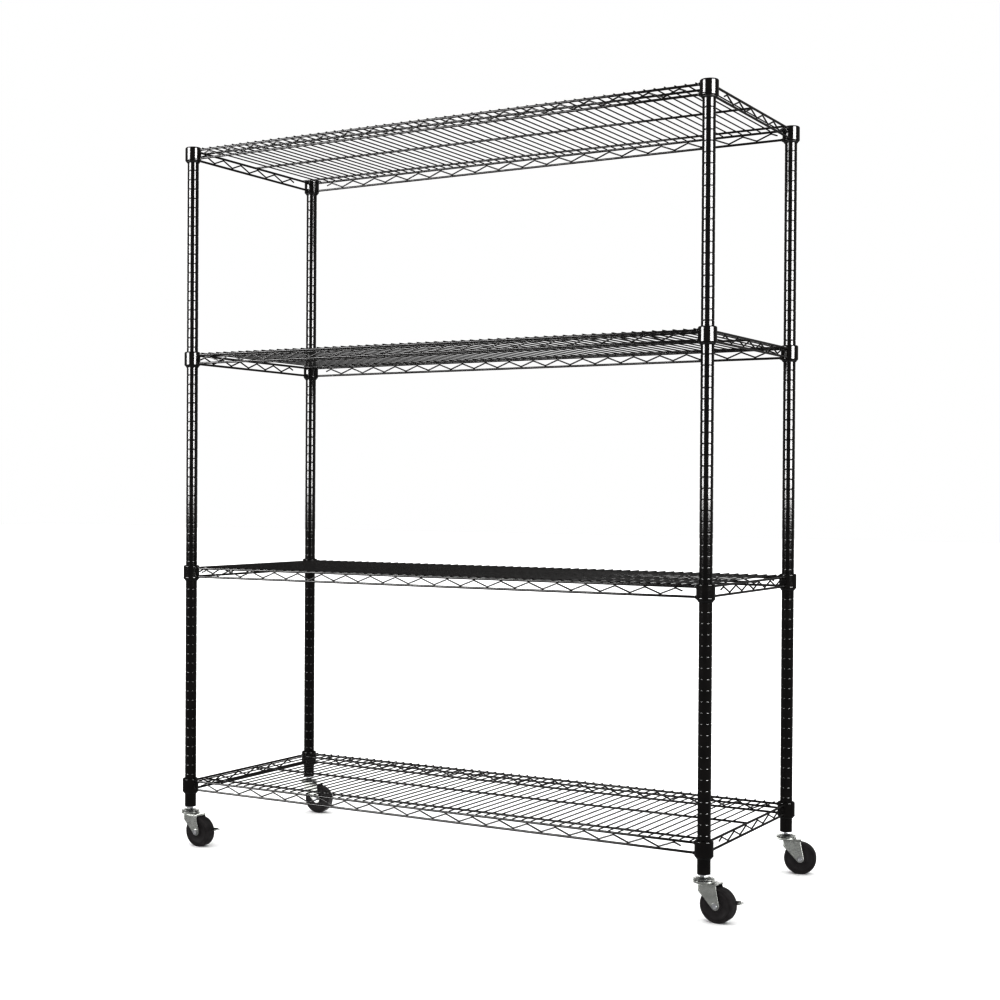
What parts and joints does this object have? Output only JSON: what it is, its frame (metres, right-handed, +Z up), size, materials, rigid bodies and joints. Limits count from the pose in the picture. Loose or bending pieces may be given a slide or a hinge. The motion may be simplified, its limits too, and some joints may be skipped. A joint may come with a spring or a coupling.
{
  "type": "wire shelving rack",
  "caption": "Mobile wire shelving rack: grooved round posts, welded wire shelves on tapered sleeves, swivel casters, the front ones braked.",
  "frame": {"origin": "centre of the rack's footprint at floor level", "axes": "+Z up the posts, +X along the long side to the right, +Y from the front to the back"},
  "size_m": [1.602, 0.6354, 1.9104],
  "materials": {
    "epoxy": "gloss",
    "zinc": "satin",
    "steel": "bright",
    "plastic": "satin",
    "hub_plastic": "satin",
    "rubber": "matte"
  },
  "bodies": {
    "frame": {"post_front_left": "epoxy", "post_front_right": "epoxy", "post_back_right": "epoxy", "post_back_left": "epoxy", "post_caps": "plastic", "stem_sockets": "steel", "bearing_balls": "steel", "sleeves_1": "plastic", "sleeves_2": "plastic", "sleeves_3": "plastic", "sleeves_4": "plastic", "stem_front_left": "steel", "stem_front_right": "steel", "stem_back_right": "steel", "stem_back_left": "steel", "raceway_front_left": "zinc", "raceway_front_right": "zinc", "raceway_back_right": "zinc", "raceway_back_left": "zinc"},
    "shelf_1": {"deck_1": "epoxy", "trusses_1": "epoxy", "collars_1": "epoxy"},
    "shelf_2": {"deck_2": "epoxy", "trusses_2": "epoxy", "collars_2": "epoxy"},
    "shelf_3": {"deck_3": "epoxy", "trusses_3": "epoxy", "collars_3": "epoxy"},
    "shelf_4": {"deck_4": "epoxy", "trusses_4": "epoxy", "collars_4": "epoxy"},
    "swivel_front_left": {"fork_front_left": "zinc", "axle_bolt_front_left": "steel", "axle_nut_front_left": "steel", "axle_tube_front_left": "steel"},
    "wheel_front_left": {"tyre_front_left": "rubber", "hub_front_left": "hub_plastic"},
    "pedal_front_left": {"brake_pedal_front_left": "zinc"},
    "swivel_front_right": {"fork_front_right": "zinc", "axle_bolt_front_right": "steel", "axle_nut_front_right": "steel", "axle_tube_front_right": "steel"},
    "wheel_front_right": {"tyre_front_right": "rubber", "hub_front_right": "hub_plastic"},
    "pedal_front_right": {"brake_pedal_front_right": "zinc"},
    "swivel_back_right": {"fork_back_right": "zinc", "axle_bolt_back_right": "steel", "axle_nut_back_right": "steel", "axle_tube_back_right": "steel"},
    "wheel_back_right": {"tyre_back_right": "rubber", "hub_back_right": "hub_plastic"},
    "swivel_back_left": {"fork_back_left": "zinc", "axle_bolt_back_left": "steel", "axle_nut_back_left": "steel", "axle_tube_back_left": "steel"},
    "wheel_back_left": {"tyre_back_left": "rubber", "hub_back_left": "hub_plastic"}
  },
  "joints": [
    {"name": "shelf_1_lift", "type": "slide", "parent": "frame", "child": "shelf_1", "axis": [0, 0, 1], "range_m": [0, 0.06]},
    {"name": "shelf_2_lift", "type": "slide", "parent": "frame", "child": "shelf_2", "axis": [0, 0, 1], "range_m": [0, 0.504]},
    {"name": "shelf_3_lift", "type": "slide", "parent": "frame", "child": "shelf_3", "axis": [0, 0, 1], "range_m": [0, 0.53]},
    {"name": "shelf_4_lift", "type": "slide", "parent": "frame", "child": "shelf_4", "axis": [0, 0, 1], "range_m": [0, 0.53]},
    {"name": "swivel_front_left", "type": "hinge", "parent": "frame", "child": "swivel_front_left", "pos_m": [-0.7755, -0.286, 0.086], "axis": [0, 0, 1], "continuous": true},
    {"name": "wheel_spin_front_left", "type": "hinge", "parent": "swivel_front_left", "child": "wheel_front_left", "pos_m": [-0.73955, -0.28788, 0.04], "axis": [0.0523, 0.9986, 0], "continuous": true},
    {"name": "brake_front_left", "type": "hinge", "parent": "swivel_front_left", "child": "pedal_front_left", "pos_m": [-0.73955, -0.28788, 0.04], "axis": [0.0523, 0.9986, 0], "range_deg": [0, 15]},
    {"name": "swivel_front_right", "type": "hinge", "parent": "frame", "child": "swivel_front_right", "pos_m": [0.7105, -0.286, 0.086], "axis": [0, 0, 1], "continuous": true},
    {"name": "wheel_spin_front_right", "type": "hinge", "parent": "swivel_front_right", "child": "wheel_front_right", "pos_m": [0.74645, -0.28788, 0.04], "axis": [0.0523, 0.9986, 0], "continuous": true},
    {"name": "brake_front_right", "type": "hinge", "parent": "swivel_front_right", "child": "pedal_front_right", "pos_m": [0.74645, -0.28788, 0.04], "axis": [0.0523, 0.9986, 0], "range_deg": [0, 15]},
    {"name": "swivel_back_right", "type": "hinge", "parent": "frame", "child": "swivel_back_right", "pos_m": [0.7105, 0.286, 0.086], "axis": [0, 0, 1], "continuous": true},
    {"name": "wheel_spin_back_right", "type": "hinge", "parent": "swivel_back_right", "child": "wheel_back_right", "pos_m": [0.74511, 0.29592, 0.04], "axis": [-0.2756, 0.9613, 0], "continuous": true},
    {"name": "swivel_back_left", "type": "hinge", "parent": "frame", "child": "swivel_back_left", "pos_m": [-0.7755, 0.286, 0.086], "axis": [0, 0, 1], "continuous": true},
    {"name": "wheel_spin_back_left", "type": "hinge", "parent": "swivel_back_left", "child": "wheel_back_left", "pos_m": [-0.7397, 0.28976, 0.04], "axis": [-0.1045, 0.9945, 0], "continuous": true}
  ]
}
